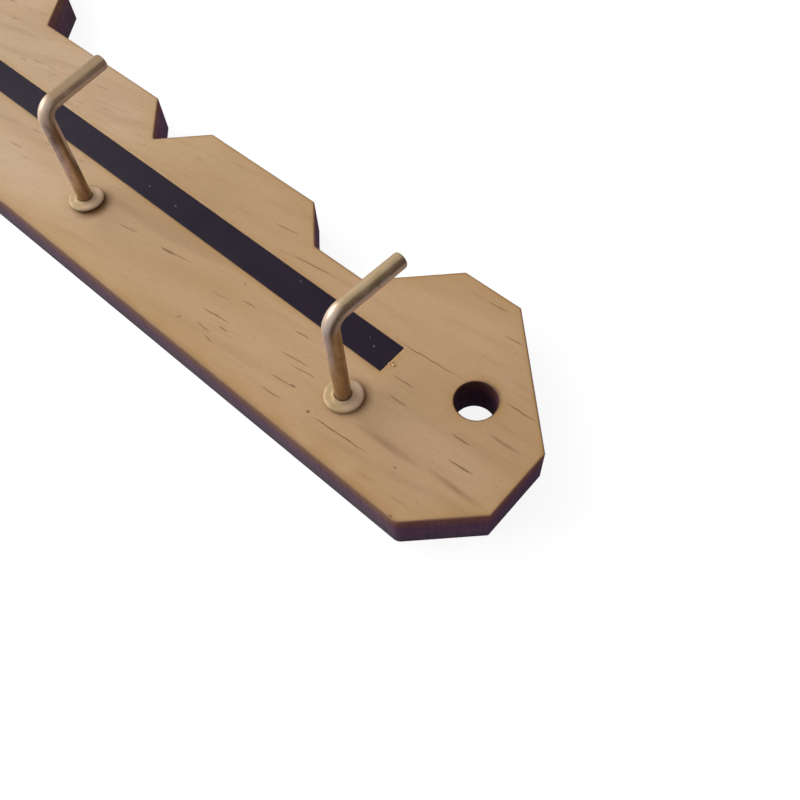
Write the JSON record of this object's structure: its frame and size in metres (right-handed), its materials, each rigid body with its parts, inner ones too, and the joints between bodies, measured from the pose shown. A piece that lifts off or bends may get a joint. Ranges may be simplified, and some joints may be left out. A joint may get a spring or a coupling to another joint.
{
  "type": "wall key rack",
  "caption": "Wall key rack: a wooden board cut in the outline of a house key, with an inlaid groove line, screw holes and a row of screw-in brass L-hooks.",
  "frame": {"origin": "middle of the board's outline, on its flat back face", "axes": "+X along the blade to the key's tip, +Y towards the toothed edge, which is up on the wall, +Z out of the front face"},
  "size_m": [0.3, 0.1058, 0.0347],
  "materials": {
    "veneered_board": "satin clear-lacquered pine veneer, laser-burnt dark side walls",
    "black_inlay": "satin black",
    "hook_brass": "satin drawn wire",
    "collar_brass": "satin pressed washer"
  },
  "bodies": {
    "board": {"key_board": "veneered_board", "groove_inlay": "black_inlay"},
    "hook_1_collar": {"hook_collar_1": "collar_brass"},
    "hook_1": {"hook_wire_1": "hook_brass"},
    "hook_2_collar": {"hook_collar_2": "collar_brass"},
    "hook_2": {"hook_wire_2": "hook_brass"},
    "hook_3_collar": {"hook_collar_3": "collar_brass"},
    "hook_3": {"hook_wire_3": "hook_brass"},
    "hook_4_collar": {"hook_collar_4": "collar_brass"},
    "hook_4": {"hook_wire_4": "hook_brass"}
  },
  "joints": [
    {"name": "hook_1_travel", "type": "slide", "parent": "board", "child": "hook_1_collar", "axis": [0, 0, 1], "range_m": [0, 0.0076]},
    {"name": "hook_1_turn", "type": "hinge", "parent": "hook_1_collar", "child": "hook_1", "pos_m": [0.1151, -0.0121, 0.009], "axis": [0, 0, 1], "range_deg": [0, 2160]},
    {"name": "hook_2_travel", "type": "slide", "parent": "board", "child": "hook_2_collar", "axis": [0, 0, 1], "range_m": [0, 0.0076]},
    {"name": "hook_2_turn", "type": "hinge", "parent": "hook_2_collar", "child": "hook_2", "pos_m": [0.0389, -0.0121, 0.009], "axis": [0, 0, 1], "range_deg": [0, 2160]},
    {"name": "hook_3_travel", "type": "slide", "parent": "board", "child": "hook_3_collar", "axis": [0, 0, 1], "range_m": [0, 0.0076]},
    {"name": "hook_3_turn", "type": "hinge", "parent": "hook_3_collar", "child": "hook_3", "pos_m": [-0.0373, -0.0121, 0.009], "axis": [0, 0, 1], "range_deg": [0, 2160]},
    {"name": "hook_4_travel", "type": "slide", "parent": "board", "child": "hook_4_collar", "axis": [0, 0, 1], "range_m": [0, 0.0076]},
    {"name": "hook_4_turn", "type": "hinge", "parent": "hook_4_collar", "child": "hook_4", "pos_m": [-0.1135, -0.0121, 0.009], "axis": [0, 0, 1], "range_deg": [0, 2160]}
  ],
  "couplings": [
    {"joint": "hook_1_travel", "follows": "hook_1_turn", "m_per_rad": 0.00019894},
    {"joint": "hook_2_travel", "follows": "hook_2_turn", "m_per_rad": 0.00019894},
    {"joint": "hook_3_travel", "follows": "hook_3_turn", "m_per_rad": 0.00019894},
    {"joint": "hook_4_travel", "follows": "hook_4_turn", "m_per_rad": 0.00019894}
  ]
}
